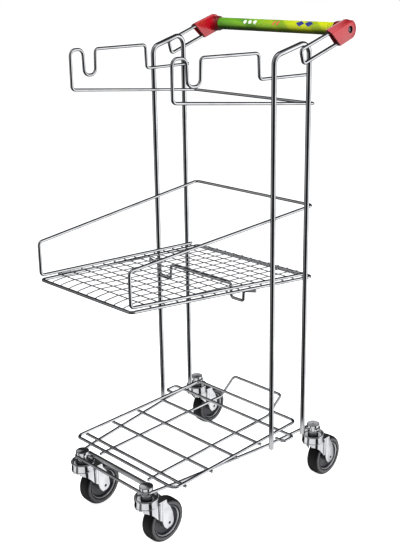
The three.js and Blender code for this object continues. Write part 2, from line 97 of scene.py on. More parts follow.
CLAMP_INNER = 200.5 * MM
CLAMP_OUTER = 218.5 * MM
CLAMP_REAR_RADIUS = 22 * MM
CLAMP_COLLAR_RADIUS = 18 * MM
CLAMP_COLLAR_START = 178 * MM
CLAMP_WELL_RADIUS = 8.2 * MM
MOUTH_TOP = Vector((219.5 * MM, 1090.5 * MM))
MOUTH_BOTTOM = Vector((256.5 * MM, 1055.5 * MM))
TOP_SLOPE_WIDTH = 7.5 * MM
TOP_SLOPE_DEPTH = 11 * MM

WHEEL_RADIUS = 50 * MM
WHEEL_TRAIL = 44 * MM
AXLE_RADIUS = 3.6 * MM
LEG_INNER = 19.6 * MM
PANEL_OUTER = 22.9 * MM
PANEL_FRONT = 24.4 * MM
RIB_OUTER = 22.3 * MM
TABS_IN_TURN = 28
TAB_REACH = 38
TAB_LENGTH = 2.4 * MM
APRON_RADIUS = 23 * MM
APRON_START = -62
SLOT_FRONT = 12.2 * MM
SLOT_WIDTH = 5 * MM
SHEET = 2 * MM

CASTERS = ("front_left", "front_right", "rear_left", "rear_right")
SIDES = (("left", -1), ("right", 1))

RECORD = frame["record"]
BODY_OF = {node: body for body, nodes in RECORD["behaviour"]["bodies"].items() for node in nodes}


# -------- shader helpers

class Graph:
    """Short calls that build one node tree."""

    def __init__(self, tree):
        self.tree = tree
        tree.nodes.clear()

    def add(self, kind, inputs=None, **settings):
        node = self.tree.nodes.new(kind)
        for key, value in settings.items():
            setattr(node, key, value)
        for key, value in (inputs or {}).items():
            if isinstance(value, bpy.types.NodeSocket):
                self.tree.links.new(value, node.inputs[key])
            else:
                node.inputs[key].default_value = value
        return node

    def math(self, operation, a, b=0.0):
        return self.add("ShaderNodeMath", {0: a, 1: b}, operation=operation).outputs[0]

    def plus(self, a, b):
        return self.math("ADD", a, b)

    def minus(self, a, b):
        return self.math("SUBTRACT", a, b)

    def times(self, a, b):
        return self.math("MULTIPLY", a, b)

    def step(self, value, low, high, to_low=0.0, to_high=1.0):
        """A smooth step from to_low to to_high as value goes from low to high."""
        inputs = {"Value": value, "From Min": low, "From Max": high, "To Min": to_low, "To Max": to_high}
        return self.add("ShaderNodeMapRange", inputs, interpolation_type="SMOOTHSTEP").outputs[0]

    def blend(self, factor, a, b):
        """A number that goes from a to b as factor goes from 0 to 1."""
        return self.plus(a, self.times(factor, self.minus(b, a)))

    def mix(self, factor, a, b):
        return self.add("ShaderNodeMix", {0: factor, 6: a, 7: b}, data_type="RGBA").outputs[2]

    def noise(self, vector, scale, detail=3.0, roughness=0.5):
        inputs = {"Vector": vector, "Scale": scale, "Detail": detail, "Roughness": roughness}
        return self.add("ShaderNodeTexNoise", inputs).outputs["Fac"]

    def vector_math(self, operation, inputs, output="Vector"):
        return self.add("ShaderNodeVectorMath", inputs, operation=operation).outputs[output]

    def length(self, a, b):
        """The length of a 2-D vector."""
        return self.math("SQRT", self.plus(self.times(a, a), self.times(b, b)))

    def bump(self, height, strength, distance):
        inputs = {"Height": height, "Strength": strength, "Distance": distance}
        return self.add("ShaderNodeBump", inputs).outputs["Normal"]

    def object_point(self):
        return self.add("ShaderNodeTexCoord").outputs["Object"]

    def split(self, vector):
        return self.add("ShaderNodeSeparateXYZ", {0: vector}).outputs

    def geometry(self, output):
        return self.add("ShaderNodeNewGeometry").outputs[output]

    def upward(self):
        """How much the surface faces up, from -1 to 1."""
        return self.split(self.geometry("Normal"))["Z"]

    def is_ray(self, kind):
        return self.add("ShaderNodeLightPath").outputs[f"Is {kind} Ray"]

    def mix_shaders(self, factor, a, b):
        return self.add("ShaderNodeMixShader", {0: factor, 1: a.outputs[0], 2: b.outputs[0]})

    def output(self, shader):
        self.add("ShaderNodeOutputMaterial", {"Surface": shader.outputs[0]})

    def surface(self, **inputs):
        named = {key.replace("_", " "): value for key, value in inputs.items()}
        self.output(self.add("ShaderNodeBsdfPrincipled", named))


def new_graph(name):
    material = bpy.data.materials.new(name)
    material.use_nodes = True
    return material, Graph(material.node_tree)


def srgb(red, green, blue):
    """A linear colour from 0 to 255 display values."""
    def linear(value):
        share = value / 255
        return share / 12.92 if share <= 0.04045 else ((share + 0.055) / 1.055) ** 2.4
    return (linear(red), linear(green), linear(blue), 1.0)


# -------- materials

def chrome(name, light, dark, roughness, peel=0.03, painted_top_shade=0.36):
    """Bright plating with smudges and faint waviness.

    A dark matt colour is mixed over it as a painted reflection of a dark room: painted shade where it turns
    away from the eye, and more, by the last argument, where it also faces up.
    """
    material, g = new_graph(name)
    point = g.object_point()
    smudge = g.noise(point, 22, 4)
    speck = g.step(g.noise(point, 420, 2), 0.68, 0.78)
    colour = g.mix(g.step(smudge, 0.35, 0.75), light, dark)
    colour = g.mix(g.times(speck, 0.25), colour, dark)
    plating = g.add("ShaderNodeBsdfPrincipled", {
        "Base Color": colour, "Metallic": 1.0,
        "Roughness": g.step(smudge, 0.4, 0.8, roughness, roughness * 2),
        "Normal": g.bump(g.noise(point, 160, 2), peel, 0.2 * MM),
    })
    facing = g.add("ShaderNodeLayerWeight", {"Blend": 0.5}).outputs["Facing"]
    above = g.times(g.math("MAXIMUM", g.upward(), 0.0), painted_top_shade)
    turned = g.step(g.plus(facing, above), 0.38, 0.70, 0.0, 0.9)
    # painted reflection: this dark matt colour stands in for a dark room mirrored where the plating turns
    # away or faces up
    room = g.add("ShaderNodeBsdfDiffuse", {"Color": srgb(34, 35, 38)})
    g.output(g.mix_shaders(turned, plating, room))
    return material


def zinc():
    """Duller plating on fasteners, with fine scratches; its dark tone is partly painted shade, for the stem
    down in its race.
    """
    material, g = new_graph("zinc")
    point = g.object_point()
    grain = g.noise(point, 1400, 2)
    # dark tone: partly the duller plating, partly painted shade for the stem inside its race
    colour = g.mix(g.noise(point, 60, 3), srgb(104, 106, 110), srgb(160, 162, 166))
    g.surface(
        Base_Color=colour, Metallic=1.0, Roughness=g.step(grain, 0.2, 0.8, 0.22, 0.42),
        Normal=g.bump(grain, 0.15, 0.05 * MM),
    )
    return material


def rivet_steel():
    """Plated steel of the axle; the hole in each rivet is painted dark, as shade."""
    material, g = new_graph("rivet_steel")
    reach, _ = from_axle(g)
    # painted shade: the deep hole is coloured near black and not metal
    hole = g.step(reach, 2.5 * MM, 2.9 * MM, 1.0, 0.0)
    grain = g.noise(g.object_point(), 900, 3)
    colour = g.mix(grain, srgb(120, 122, 126), srgb(186, 188, 192))
    g.surface(
        Base_Color=g.mix(hole, colour, srgb(26, 26, 28)), Metallic=g.minus(1.0, hole),
        Roughness=g.step(grain, 0.2, 0.8, 0.24, 0.4), Specular_IOR_Level=0.2,
    )
    return material


def scuffed(g, point, polished, worn):
    """The roughness of glossy plastic with scuffed patches."""
    scuff = g.step(g.noise(point, 90, 5, 0.7), 0.56, 0.72)
    return g.step(scuff, 0.0, 1.0, polished, worn)


def plug_plastic():
    """Black moulded plastic with slight colour drift, fine texture and scuffs."""
    material, g = new_graph("plug_black")
    point = g.object_point()
    g.surface(
        Base_Color=g.mix(g.noise(point, 35, 3), srgb(20, 20, 22), srgb(34, 34, 36)),
        Roughness=scuffed(g, point, 0.45, 0.63),
        Normal=g.bump(g.noise(point, 1600, 2), 0.12, 0.06 * MM),
        Coat_Weight=0.25, Coat_Roughness=0.18,
    )
    return material


def clamp_plastic():
    """Glossy red plastic with a mould texture, painted highlights on its sharp edges, and painted shade on
    its top, on the collar towards the sleeve and in the screw's well.
    """
    material, g = new_graph("clamp_red")
    point = g.object_point()
    x, y, z = g.split(point)
    out = g.math("ABSOLUTE", x)
    from_bar = g.length(g.minus(y, BAR_CENTRE.y), g.minus(z, BAR_CENTRE.z))
    # painted shade: the screw's well is coloured near black and has no coat
    outboard = g.step(out, CLAMP_OUTER - 9.5 * MM, CLAMP_OUTER - 7.5 * MM)
    in_well = g.step(from_bar, CLAMP_WELL_RADIUS - 0.6 * MM, CLAMP_WELL_RADIUS + 0.3 * MM, 1.0, 0.0)
    well = g.times(outboard, in_well)
    colour = g.mix(g.noise(point, 35, 3), srgb(172, 12, 28), srgb(200, 24, 42))
    # painted shade: the collar darkens to maroon towards the sleeve
    collar = g.step(out, CLAMP_COLLAR_START, CLAMP_INNER - 0.5 * MM, 0.85, 0.0)
    colour = g.mix(collar, colour, srgb(70, 6, 10))
    # painted shade: faces that look up are a deeper red
    colour = g.mix(g.step(g.upward(), 0.25, 0.8, 0.0, 0.6), colour, srgb(92, 6, 14))
    # painted highlight: sharp edges are paler pink
    edge_highlight = g.step(g.geometry("Pointiness"), 0.53, 0.60, 0.0, 0.35)
    colour = g.mix(edge_highlight, colour, srgb(226, 120, 124))
    g.surface(
        Base_Color=g.mix(well, colour, srgb(30, 8, 10)),
        Roughness=scuffed(g, point, 0.26, 0.42),
        Normal=g.bump(g.noise(point, 1300, 2), 0.16, 0.06 * MM),
        Coat_Weight=g.minus(1.0, well), Coat_Roughness=0.2,
    )
    return material


def printed_sleeve():
    """Lime green that turns to yellow along the bar, with soft leaf rays and plain printed shapes.

    The sleeve has painted shade: it is darker where it faces down.
    """
    material, g = new_graph("grip_print")
    point = g.object_point()
    along, across, up = g.split(point)
    around = g.times(g.math("ARCTAN2", across, up), SLEEVE_RADIUS)
    facing = g.plus(around, 17 * MM)

    def near(value, centre, reach):
        distance = g.math("ABSOLUTE", g.minus(value, centre))
        return g.step(distance, reach - 0.5 * MM, reach + 0.5 * MM, 1.0, 0.0)

    drift = g.step(along, -0.11, 0.10)
    base = g.mix(drift, srgb(92, 156, 34), srgb(196, 206, 10))
    centre_along = g.plus(along, 0.052)
    ray_angle = g.math("ARCTAN2", g.plus(facing, 12 * MM), centre_along)
    rays = g.step(g.math("SINE", g.times(ray_angle, 11.0)), -0.3, 0.8)
    ray_room = g.step(g.math("ABSOLUTE", centre_along), 0.02, 0.12, 0.85, 0.0)
    base = g.mix(g.times(rays, ray_room), base, srgb(132, 186, 34))
    sweep = g.math("SINE", g.plus(g.times(along, 62.0), g.times(facing, 70.0)))
    base = g.mix(g.times(g.step(sweep, 0.1, 0.9), 0.5), base, srgb(62, 126, 26))

    def dot(u, v, radius):
        distance = g.length(g.minus(along, u), g.minus(facing, v))
        return g.step(distance, radius - 0.4 * MM, radius + 0.4 * MM, 1.0, 0.0)

    def diamond(u, v, half_length, half_height):
        du = g.math("DIVIDE", g.math("ABSOLUTE", g.minus(along, u)), half_length)
        dv = g.math("DIVIDE", g.math("ABSOLUTE", g.minus(facing, v)), half_height)
        return g.step(g.plus(du, dv), 0.93, 1.05, 1.0, 0.0)

    def slanted_bar(u, v, half_width, half_height):
        lean = g.times(g.minus(facing, v), 0.5)
        across_bar = near(g.minus(along, lean), u, half_width)
        return g.times(across_bar, near(facing, v, half_height))

    for u in (-0.086, -0.070, -0.054):
        base = g.mix(dot(u, 2 * MM, 5.2 * MM), base, srgb(238, 243, 236))
    for u in (0.006, 0.018):
        base = g.mix(slanted_bar(u, 2 * MM, 2.6 * MM, 5 * MM), base, srgb(226, 92, 74))
    for u in (0.084, 0.110):
        base = g.mix(diamond(u, 4 * MM, 13 * MM, 8 * MM), base, srgb(46, 52, 130))
    # painted shade: faces that look down turn dark olive
    base = g.mix(g.step(g.upward(), -0.65, -0.05, 0.7, 0.0), base, srgb(36, 54, 12))
    wear = g.step(g.noise(point, 120, 5, 0.7), 0.6, 0.75)
    g.surface(
        Base_Color=base, Roughness=g.step(wear, 0.0, 1.0, 0.24, 0.42),
        Normal=g.bump(g.noise(point, 900, 2), 0.08, 0.05 * MM),
        Coat_Weight=0.4, Coat_Roughness=0.12,
    )
    return material


def from_axle(g):
    """How far a point of a wheel is from its axle, and how far it is out from the middle."""
    x, y, z = g.split(g.object_point())
    return g.length(y, z), g.math("ABSOLUTE", x)


def tyre_rubber():
    """Black tread with dust in its pores, and a painted sheen: a paler ring in the middle of each side wall.
    """
    material, g = new_graph("tyre_rubber")
    point = g.object_point()
    reach, out = from_axle(g)
    # painted sheen: the middle of each side wall is coloured paler grey than the tread
    ring = g.times(g.step(reach, 36.6 * MM, 39.5 * MM), g.step(reach, 46.2 * MM, 42.0 * MM))
    side = g.times(g.step(out, 10 * MM, 15 * MM), ring)
    dust = g.noise(point, 70, 5, 0.65)
    tread = g.mix(g.step(dust, 0.45, 0.85), srgb(9, 9, 10), srgb(24, 23, 23))
    wall = g.mix(dust, srgb(86, 86, 89), srgb(116, 116, 119))
    g.surface(
        Base_Color=g.mix(side, tread, wall), Roughness=g.step(side, 0.0, 1.0, 0.5, 0.4),
        Specular_IOR_Level=0.3, Normal=g.bump(g.noise(point, 1100, 3), 0.25, 0.08 * MM),
    )
    return material


def hub_plastic():
    """Slate plastic with a fine mould texture, and a painted highlight: a pale sloping wall inside the rim.
    """
    material, g = new_graph("hub_plastic")
    point = g.object_point()
    reach, _ = from_axle(g)
    # painted highlight: the sloping wall inside the rim is coloured near white and partly metal
    lip = g.times(g.step(reach, 32.9 * MM, 33.5 * MM), g.step(reach, 34.9 * MM, 34.4 * MM))
    dust = g.noise(point, 60, 4, 0.6)
    web = g.mix(dust, srgb(30, 30, 39), srgb(46, 46, 56))
    pale = g.mix(dust, srgb(222, 223, 227), srgb(244, 245, 247))
    g.surface(
        Base_Color=g.mix(lip, web, pale), Roughness=g.step(dust, 0.3, 0.7, 0.3, 0.44),
        Metallic=g.times(lip, 0.7), Normal=g.bump(g.noise(point, 1500, 2), 0.12, 0.06 * MM),
        Coat_Weight=0.2, Coat_Roughness=0.2,
    )
    return material


CHROME_ROD = chrome("chrome_rod", srgb(228, 230, 233), srgb(196, 198, 203), 0.07, 0.012, painted_top_shade=0.06)
CHROME_WIRE = chrome("chrome_wire", srgb(226, 228, 231), srgb(192, 194, 199), 0.07, 0.012)
CHROME_MESH = chrome("chrome_mesh", srgb(176, 178, 182), srgb(138, 140, 145), 0.10, 0.01)
CHROME_CASTER = chrome("chrome_caster", srgb(232, 233, 236), srgb(198, 200, 205), 0.06, painted_top_shade=0.0)
ZINC = zinc()
RIVET_STEEL = rivet_steel()
PLUG_BLACK = plug_plastic()
HUB_PLASTIC = hub_plastic()
CLAMP_RED = clamp_plastic()
GRIP_PRINT = printed_sleeve()
TYRE_RUBBER = tyre_rubber()


# -------- mesh helpers

def on_circle(radius, degrees, centre=(0.0, 0.0)):
    angle = math.radians(degrees)
    return (centre[0] + radius * math.cos(angle), centre[1] + radius * math.sin(angle))


def new_object(name, data):
    made = bpy.data.objects.new(name, data)
    bpy.context.scene.collection.objects.link(made)
    return made


def smooth(piece, sharp_angle=SHARP_ANGLE):
    """Smooth shading, sharp only across steep edges."""
    piece.data.shade_smooth()
    piece.data.set_sharp_from_angle(angle=sharp_angle)


def mesh_piece(name, verts, faces, sharp_angle=SHARP_ANGLE):
    mesh = bpy.data.meshes.new(name)
    mesh.from_pydata([tuple(v) for v in verts], [], faces)
    mesh.validate()
    piece = new_object(name, mesh)
    smooth(piece, sharp_angle)
    return piece


def stand_for(piece, node, material):
    """Puts a finished piece in the place of a CAD node."""
    piece.data.materials.clear()
    piece.data.materials.append(material)
    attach(piece, BODY_OF[node])
    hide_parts(node)


def grow_faces(ring_count, sides, closed):
    """Quads between neighbouring rings of vertices."""
    faces = []
    for k in range(ring_count if closed else ring_count - 1):
        a = k * sides
        b = (k + 1) % ring_count * sides
        for i in range(sides):
            j = (i + 1) % sides
            faces.append((a + i, a + j, b + j, b + i))
    return faces


def rounded(points, radius, closed=True, steps=4):
    """A 2-D outline with its corners rounded. A point may carry its own radius as a third value."""
    outline = []
    count = len(points)
    for i, point in enumerate(points):
        corner = Vector(point[:2])
        if not closed and i in (0, count - 1):
            outline.append(corner)
            continue
        back = Vector(points[i - 1][:2]) - corner
        ahead = Vector(points[(i + 1) % count][:2]) - corner
        room = 0.49 * min(back.length, ahead.length)
        half = back.angle(ahead) / 2
        wanted = point[2] if len(point) > 2 else radius
        if wanted <= 0 or half > math.radians(88):
            outline.append(corner)
            continue
        setback = min(wanted / math.tan(half), room)
        bend = setback * math.tan(half)
        centre = corner + (back.normalized() + ahead.normalized()).normalized() * bend / math.sin(half)
        start = corner + back.normalized() * setback - centre
        end = corner + ahead.normalized() * setback - centre
        sweep = start.angle(end)
        for k in range(steps + 1):
            t = k / steps
            share = (math.sin((1 - t) * sweep), math.sin(t * sweep))
            outline.append(centre + (start * share[0] + end * share[1]) / math.sin(sweep))
    return outline


@contextmanager
def open_mesh(piece):
    """The piece's mesh, open for editing and then written back."""
    work = bmesh.new()
    work.from_mesh(piece.data)
    yield work
    work.to_mesh(piece.data)
    work.free()


def face_outwards(piece):
    """Joins vertices that coincide, and turns every face outwards."""
    with open_mesh(piece) as work:
        bmesh.ops.remove_doubles(work, verts=work.verts, dist=TOUCHING)
        bmesh.ops.recalc_face_normals(work, faces=work.faces)


def drop_slivers(piece):
    """Joins vertices that nearly coincide and removes faces without area, which cuts leave behind."""
    with open_mesh(piece) as work:
        bmesh.ops.remove_doubles(work, verts=work.verts, dist=SLIVER)
        bmesh.ops.dissolve_degenerate(work, edges=work.edges, dist=SLIVER)


def end_caps(ring_count, sides):
    """The two faces that close a row of rings."""
    last = (ring_count - 1) * sides
    return [tuple(range(sides))[::-1], tuple(last + i for i in range(sides))]


def rounded_mm(points, radius, **options):
    """rounded() for points and radii in millimetres."""
    return rounded([tuple(value * MM for value in point) for point in points], radius * MM, **options)


def lathe(name, profile, axis="Z", segments=LATHE_SEGMENTS):
    """Turns a profile of (radius, height) points; it closes on itself, or starts and ends on the axis."""
    on_axis = profile[0][0] < 1e-6
    verts = []
    for radius, height in profile:
        for i in range(segments):
            angle = 2 * math.pi * i / segments
            a, b = radius * math.cos(angle), radius * math.sin(angle)
            verts.append((a, b, height) if axis == "Z" else (height, a, b))
    faces = grow_faces(len(profile), segments, closed=not on_axis)
    piece = mesh_piece(name, verts, faces)
    face_outwards(piece)
    smooth(piece)
    return piece


def loft(name, rings, sharp_angle=SHARP_ANGLE):
    """A piece through equal rings of points, closed at both ends."""
    verts = [point for ring in rings for point in ring]
    sides = len(rings[0])
    faces = grow_faces(len(rings), sides, closed=False) + end_caps(len(rings), sides)
    piece = mesh_piece(name, verts, faces, sharp_angle)
    face_outwards(piece)
    return piece


def inset(outline, distance):
    """The outline moved inwards; the outline runs anticlockwise."""
    moved = []
    for i, point in enumerate(outline):
        before = (point - outline[i - 1]).normalized()
        after = (outline[(i + 1) % len(outline)] - point).normalized()
        inward = Vector((-before.y - after.y, before.x + after.x)).normalized()
        square = max(0.3, inward.dot(Vector((-after.y, after.x))))
        moved.append(point + inward * distance / square)
    return moved


def plate(name, outline, low, high, edge):
    """A plate across X with rounded edges, from a (y, z) outline."""
    area = sum(a.cross(b) for a, b in zip(outline, outline[1:] + outline[:1]))
    if area < 0:
        outline = outline[::-1]
    near = []
    for k in range(EDGE_STEPS + 1):
        turn = math.pi / 2 * k / EDGE_STEPS
        near.append((low + edge * (1 - math.sin(turn)), edge * (1 - math.cos(turn))))
    levels = sorted(near + [(low + high - x, distance) for x, distance in near])
    rings = [[(x, p.x, p.y) for p in inset(outline, distance)] for x, distance in levels]
    return loft(name, rings, math.radians(50))


def merge(name, pieces):
    """One object from several; the originals are removed."""
    whole = bmesh.new()
    for piece in pieces:
        drop_slivers(piece)
        whole.from_mesh(piece.data)
        bpy.data.objects.remove(piece)
    mesh = bpy.data.meshes.new(name)
    whole.to_mesh(mesh)
    whole.free()
    joined = new_object(name, mesh)
    smooth(joined)
    return joined


def bake_modifiers(piece):
    """Puts the result of the modifiers into the mesh itself."""
    graph = bpy.context.evaluated_depsgraph_get()
    mesh = bpy.data.meshes.new_from_object(piece.evaluated_get(graph))
    piece.modifiers.clear()
    piece.data = mesh


def combine(piece, other, operation):
    """Adds the other piece, or cuts it away; the other piece is removed."""
    modifier = piece.modifiers.new("combine", "BOOLEAN")
    modifier.operation = operation
    modifier.object = other
    modifier.solver = "EXACT"
    bake_modifiers(piece)
    bpy.data.objects.remove(other)
    drop_slivers(piece)


# -------- wire lines read from the frame

def spread(seeds):
    """Rings of vertices outward from the seeds, each one edge further than the last."""
    seen = set(seeds)
    rings = [list(seeds)]
    while True:
        found = {edge.other_vert(v) for v in rings[-1] for edge in v.link_edges} - seen
        if not found:
            return rings
        seen |= found
        rings.append(sorted(found, key=lambda v: v.index))


def centre_line(node, diameter):
    """The centres of a swept wire's rings, from one end to the other."""
    mesh = bmesh.new()
    mesh.from_mesh(frame["nodes"][node].data)
    bmesh.ops.remove_doubles(mesh, verts=mesh.verts, dist=0.01 * MM)
    mesh.verts.ensure_lookup_table()
    mesh.verts.index_update()
    tip = spread([mesh.verts[0]])[-1][0]
    close_by = [v for ring in spread([tip])[:4] for v in ring]
    end_ring = [v for v in close_by if (v.co - tip.co).length < 1.05 * diameter]
    line = [sum((v.co for v in ring), Vector()) / len(ring) for ring in spread(end_ring)]
    mesh.free()
    return line


def arc_spans(line):
    """(first, last) stations between which a line follows one arc: equal chords that keep turning."""
    chords = [b - a for a, b in zip(line, line[1:])]
    spans = []
    i = 0
    while i < len(chords):
        j = i
        while (
            j + 1 < len(chords)
            and abs(chords[j + 1].length - chords[i].length) < 0.01 * chords[i].length
            and chords[j].angle(chords[j + 1]) > math.radians(3)
        ):
            j += 1
        if j - i >= 2:
            spans.append((i, j + 1))
        i = j + 1
    return spans


def arc_through(a, middle, b):
    """Points on the circle through three points, from a to b."""
    normal = (middle - a).cross(b - middle).normalized()
    to_middle, to_end = middle - a, b - a
    cross = to_middle.cross(to_end)
    out = to_end.length_squared * cross.cross(to_middle) + to_middle.length_squared * to_end.cross(cross)
    centre = a + out / (2 * cross.length_squared)
    start, end = a - centre, b - centre
    sweep = math.atan2(normal.dot(start.cross(end)), start.dot(end)) % (2 * math.pi)
    steps = max(3, math.ceil(sweep / ARC_STEP))
    return [centre + Matrix.Rotation(sweep * k / steps, 3, normal) @ start for k in range(steps + 1)]


def smooth_line(line):
    """The line with true arcs in place of its faceted bends."""
    fine = []
    done = 0
    for first, last in arc_spans(line):
        fine += line[done:first]
        fine += arc_through(line[first], line[(first + last) // 2], line[last])
        done = last + 1
    return fine + line[done:]


def tube_mesh(line, radius, closed=False, sides=TUBE_SIDES, chamfer=WIRE_CHAMFER):
    """Vertices and faces of a round wire along a line, with chamfered ends unless it is a loop."""
    if not closed:
        ahead = (line[1] - line[0]).normalized() * chamfer
        behind = (line[-2] - line[-1]).normalized() * chamfer
        line = [line[0], line[0] + ahead] + line[1:-1] + [line[-1] + behind, line[-1]]
    count = len(line)
    verts = []
    normal = None
    tangent_before = None
    for k, point in enumerate(line):
        before = line[k - 1] if closed or k > 0 else point
        after = line[(k + 1) % count] if closed or k < count - 1 else point
        tangent = ((point - before).normalized() + (after - point).normalized()).normalized()
        if normal is None:
            normal = tangent.orthogonal().normalized()
        else:
            normal = tangent_before.rotation_difference(tangent) @ normal
        tangent_before = tangent
        side = tangent.cross(normal)
        at_end = not closed and k in (0, count - 1)
        reach = radius - chamfer if at_end else radius
        for i in range(sides):
            angle = 2 * math.pi * i / sides
            verts.append(point + (normal * math.cos(angle) + side * math.sin(angle)) * reach)
    faces = grow_faces(count, sides, closed)
    if not closed:
        faces += end_caps(count, sides)
    return verts, faces


def wire_piece(node, verts, faces, material):
    """A wire that is left out of reflections, its own among them."""
    wire = mesh_piece("fine_" + node, verts, faces)
    wire.visible_glossy = False
    stand_for(wire, node, material)


def round_wire(node, diameter, material):
    """A smooth wire along the centre line of a CAD wire. Ends that butt together become a loop."""
    line = smooth_line(centre_line(node, diameter))
    closed = (line[0] - line[-1]).length < MM
    wire_piece(node, *tube_mesh(line, diameter / 2, closed), material)


# -------- wires, rods and the shelf mesh

for word, _ in SIDES:
    round_wire(f"side_frame_{word}", ROD_DIAMETER, CHROME_ROD)
    round_wire(f"handle_loop_{word}", LOOP_DIAMETER, CHROME_WIRE)
round_wire("base_front_rod", ROD_DIAMETER, CHROME_ROD)
for wire_node in (
    "top_tier_wire", "middle_tier_wire", "shelf_frame", "bag_hanger_wire", "base_wire", "platform_frame",
    *(f"platform_cross_wire_{k}" for k in range(1, 5)), "platform_bumper_wire", "platform_stop_wire",
):
    round_wire(wire_node, WIRE_DIAMETER, CHROME_WIRE)


def shelf_mesh():
    """Cross wires under depth wires; most depth wires bend down behind the front bar."""
    low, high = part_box("shelf_frame")
    front, back = low.y + WIRE_DIAMETER / 2, high.y - WIRE_DIAMETER / 2
    front_height, back_height = high.z - WIRE_DIAMETER / 2, low.z + WIRE_DIAMETER / 2
    half_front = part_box("shelf_mesh")[1].x
    line = centre_line("shelf_frame", WIRE_DIAMETER)
    wide = max(line, key=lambda p: p.x)
    narrow = max((p for p in line if p.y < 0), key=lambda p: p.x)

    def height(y, offset):
        return front_height + (back_height - front_height) * (y - front) / (back - front) + offset

    def half_width(y):
        share = (y - narrow.y) / (wide.y - narrow.y)
        return narrow.x + (wide.x - narrow.x) * share

    def on_shelf(x, y, offset):
        return Vector((x, y, height(y, offset)))

    under = WIRE_DIAMETER / 2 + MESH_DIAMETER / 2
    over = under + MESH_DIAMETER * 0.88
    lines = []
    for k in range(MESH_CROSS_COUNT):
        y = MESH_FIRST_CROSS + k * MESH_CROSS_PITCH
        reach = min(half_width(y) + WIRE_DIAMETER * 0.4, half_front)
        lines.append([on_shelf(side * reach, y, under) for side in (-1, 1)])
    first_flat = MESH_FIRST_CROSS - 4 * MM
    last_flat = back - 28 * MM
    start = front + WIRE_DIAMETER / 2 + MESH_DIAMETER / 2
    dip = [(0.0, -1.0 * MM), (0.12, 1.8 * MM), (0.5, 4.6 * MM), (0.8, 6.4 * MM)]
    for i in range(-MESH_DEPTH_SIDE_COUNT - 1, MESH_DEPTH_SIDE_COUNT + 2):
        x = i * MESH_DEPTH_PITCH
        run = [
            on_shelf(x, first_flat, over),
            on_shelf(x, last_flat, over),
            Vector((x, back - 1.5 * MM, height(back, under + 0.2 * MM))),
        ]
        if abs(i) <= MESH_DEPTH_SIDE_COUNT:
            run = [on_shelf(x, start + (first_flat - start) * t, rise) for t, rise in dip] + run
        lines.append(run)
    verts, faces = [], []
    for wire_line in lines:
        more_verts, more_faces = tube_mesh(
            wire_line, MESH_DIAMETER / 2, sides=MESH_WIRE_SIDES, chamfer=MESH_WIRE_CHAMFER)
        faces += [tuple(index + len(verts) for index in face) for face in more_faces]
        verts += more_verts
    wire_piece("shelf_mesh", verts, faces, CHROME_MESH)


shelf_mesh()

# -------- push bar

def ring_profile(inner, outer, low, high, edge):
    return rounded([(inner, low), (outer, low), (outer, high), (inner, high)], edge, steps=3)


def handle_tube():
    profile = ring_profile(11.2 * MM, BAR_RADIUS, -BAR_HALF_LENGTH, BAR_HALF_LENGTH, 0.5 * MM)
    tube = lathe("fine_handle_tube", profile, "X")
    tube.location = BAR_CENTRE
    stand_for(tube, "handle_tube", CHROME_ROD)


def grip_sleeve():
    """The sleeve has a low bead at each end and is a little slack between them."""
    inner = BAR_RADIUS + 0.2 * MM
    half = SLEEVE_HALF_LENGTH
    bead = SLEEVE_RADIUS + 0.35 * MM
    outside = [
        (inner, -half), (bead - 0.6 * MM, -half), (bead, -half + 0.8 * MM), (bead, -half + 2.6 * MM),
        (SLEEVE_RADIUS, -half + 4 * MM),
    ]
    stations = 24
    for k in range(1, stations):
        x = (2 * k / stations - 1) * (half - 4 * MM)
        ripple = 0.06 * MM * math.sin(x * 95) + 0.05 * MM * math.sin(x * 41 + 1)
        outside.append((SLEEVE_RADIUS + ripple, x))
    outside += [(radius, -x) for radius, x in outside[4::-1]]
    sleeve = lathe("fine_handle_grip_sleeve", outside, "X", FINE_SEGMENTS)
    sleeve.location = BAR_CENTRE
    stand_for(sleeve, "handle_grip_sleeve", GRIP_PRINT)


def clamp_outline():
    """The clamp from the side, as (y, z) points, anticlockwise from the top of its mouth."""
    centre = Vector((BAR_CENTRE.y, BAR_CENTRE.z))
    outline = [MOUTH_TOP, MOUTH_BOTTOM]
    for k in range(25):
        angle = math.radians(-60 + 166 * k / 24)
        outline.append(centre + CLAMP_REAR_RADIUS * Vector((math.cos(angle), math.sin(angle))))
    return outline


def clamp_level(outline, margin, slope):
    """The outline drawn in by margin, and by slope more where it faces the sloping top."""
    top_direction = (outline[-1] - outline[0]).normalized()
    top_normal = Vector((-top_direction.y, top_direction.x))
    limit = max(p.dot(top_normal) for p in outline) - slope
    return [p - top_normal * max(0.0, p.dot(top_normal) - limit) for p in inset(outline, margin)]


def clamp_block(name):
    """The clamp's body, lofted through levels of (x, margin, extra margin of the sloping top)."""
    outline = clamp_outline()
    inner, outer, slope = CLAMP_INNER, CLAMP_OUTER, TOP_SLOPE_WIDTH
    levels = [
        (inner, 1.6 * MM, 0),
        (inner + 0.5 * MM, 0.6 * MM, 0),
        (inner + 1.6 * MM, 0, 0),
        (outer - TOP_SLOPE_DEPTH - MM, 0, 0),
        (outer - TOP_SLOPE_DEPTH + 0.5 * MM, 0, 0.5 * MM),
        (outer - 3.0 * MM, 0.1 * MM, slope - 2.2 * MM),
        (outer - 2.6 * MM, 0.1 * MM, slope - 0.9 * MM),
        (outer - 1.2 * MM, 0.3 * MM, slope - 0.9 * MM),
        (outer - 0.4 * MM, 0.8 * MM, slope - 0.4 * MM),
        (outer, 1.8 * MM, slope + 0.4 * MM),
    ]
    return loft(name, [[(x, p.x, p.y) for p in clamp_level(outline, *margins)] for x, *margins in levels])


def turned_on_bar(name, profile):
    """A piece turned about the push bar's axis."""
    piece = lathe(name, profile, "X", 64)
    piece.data.transform(Matrix.Translation((0, BAR_CENTRE.y, BAR_CENTRE.z)))
    return piece


def disc_profile(radius, low, high):
    return [(0, low), (radius, low), (radius, high), (0, high)]


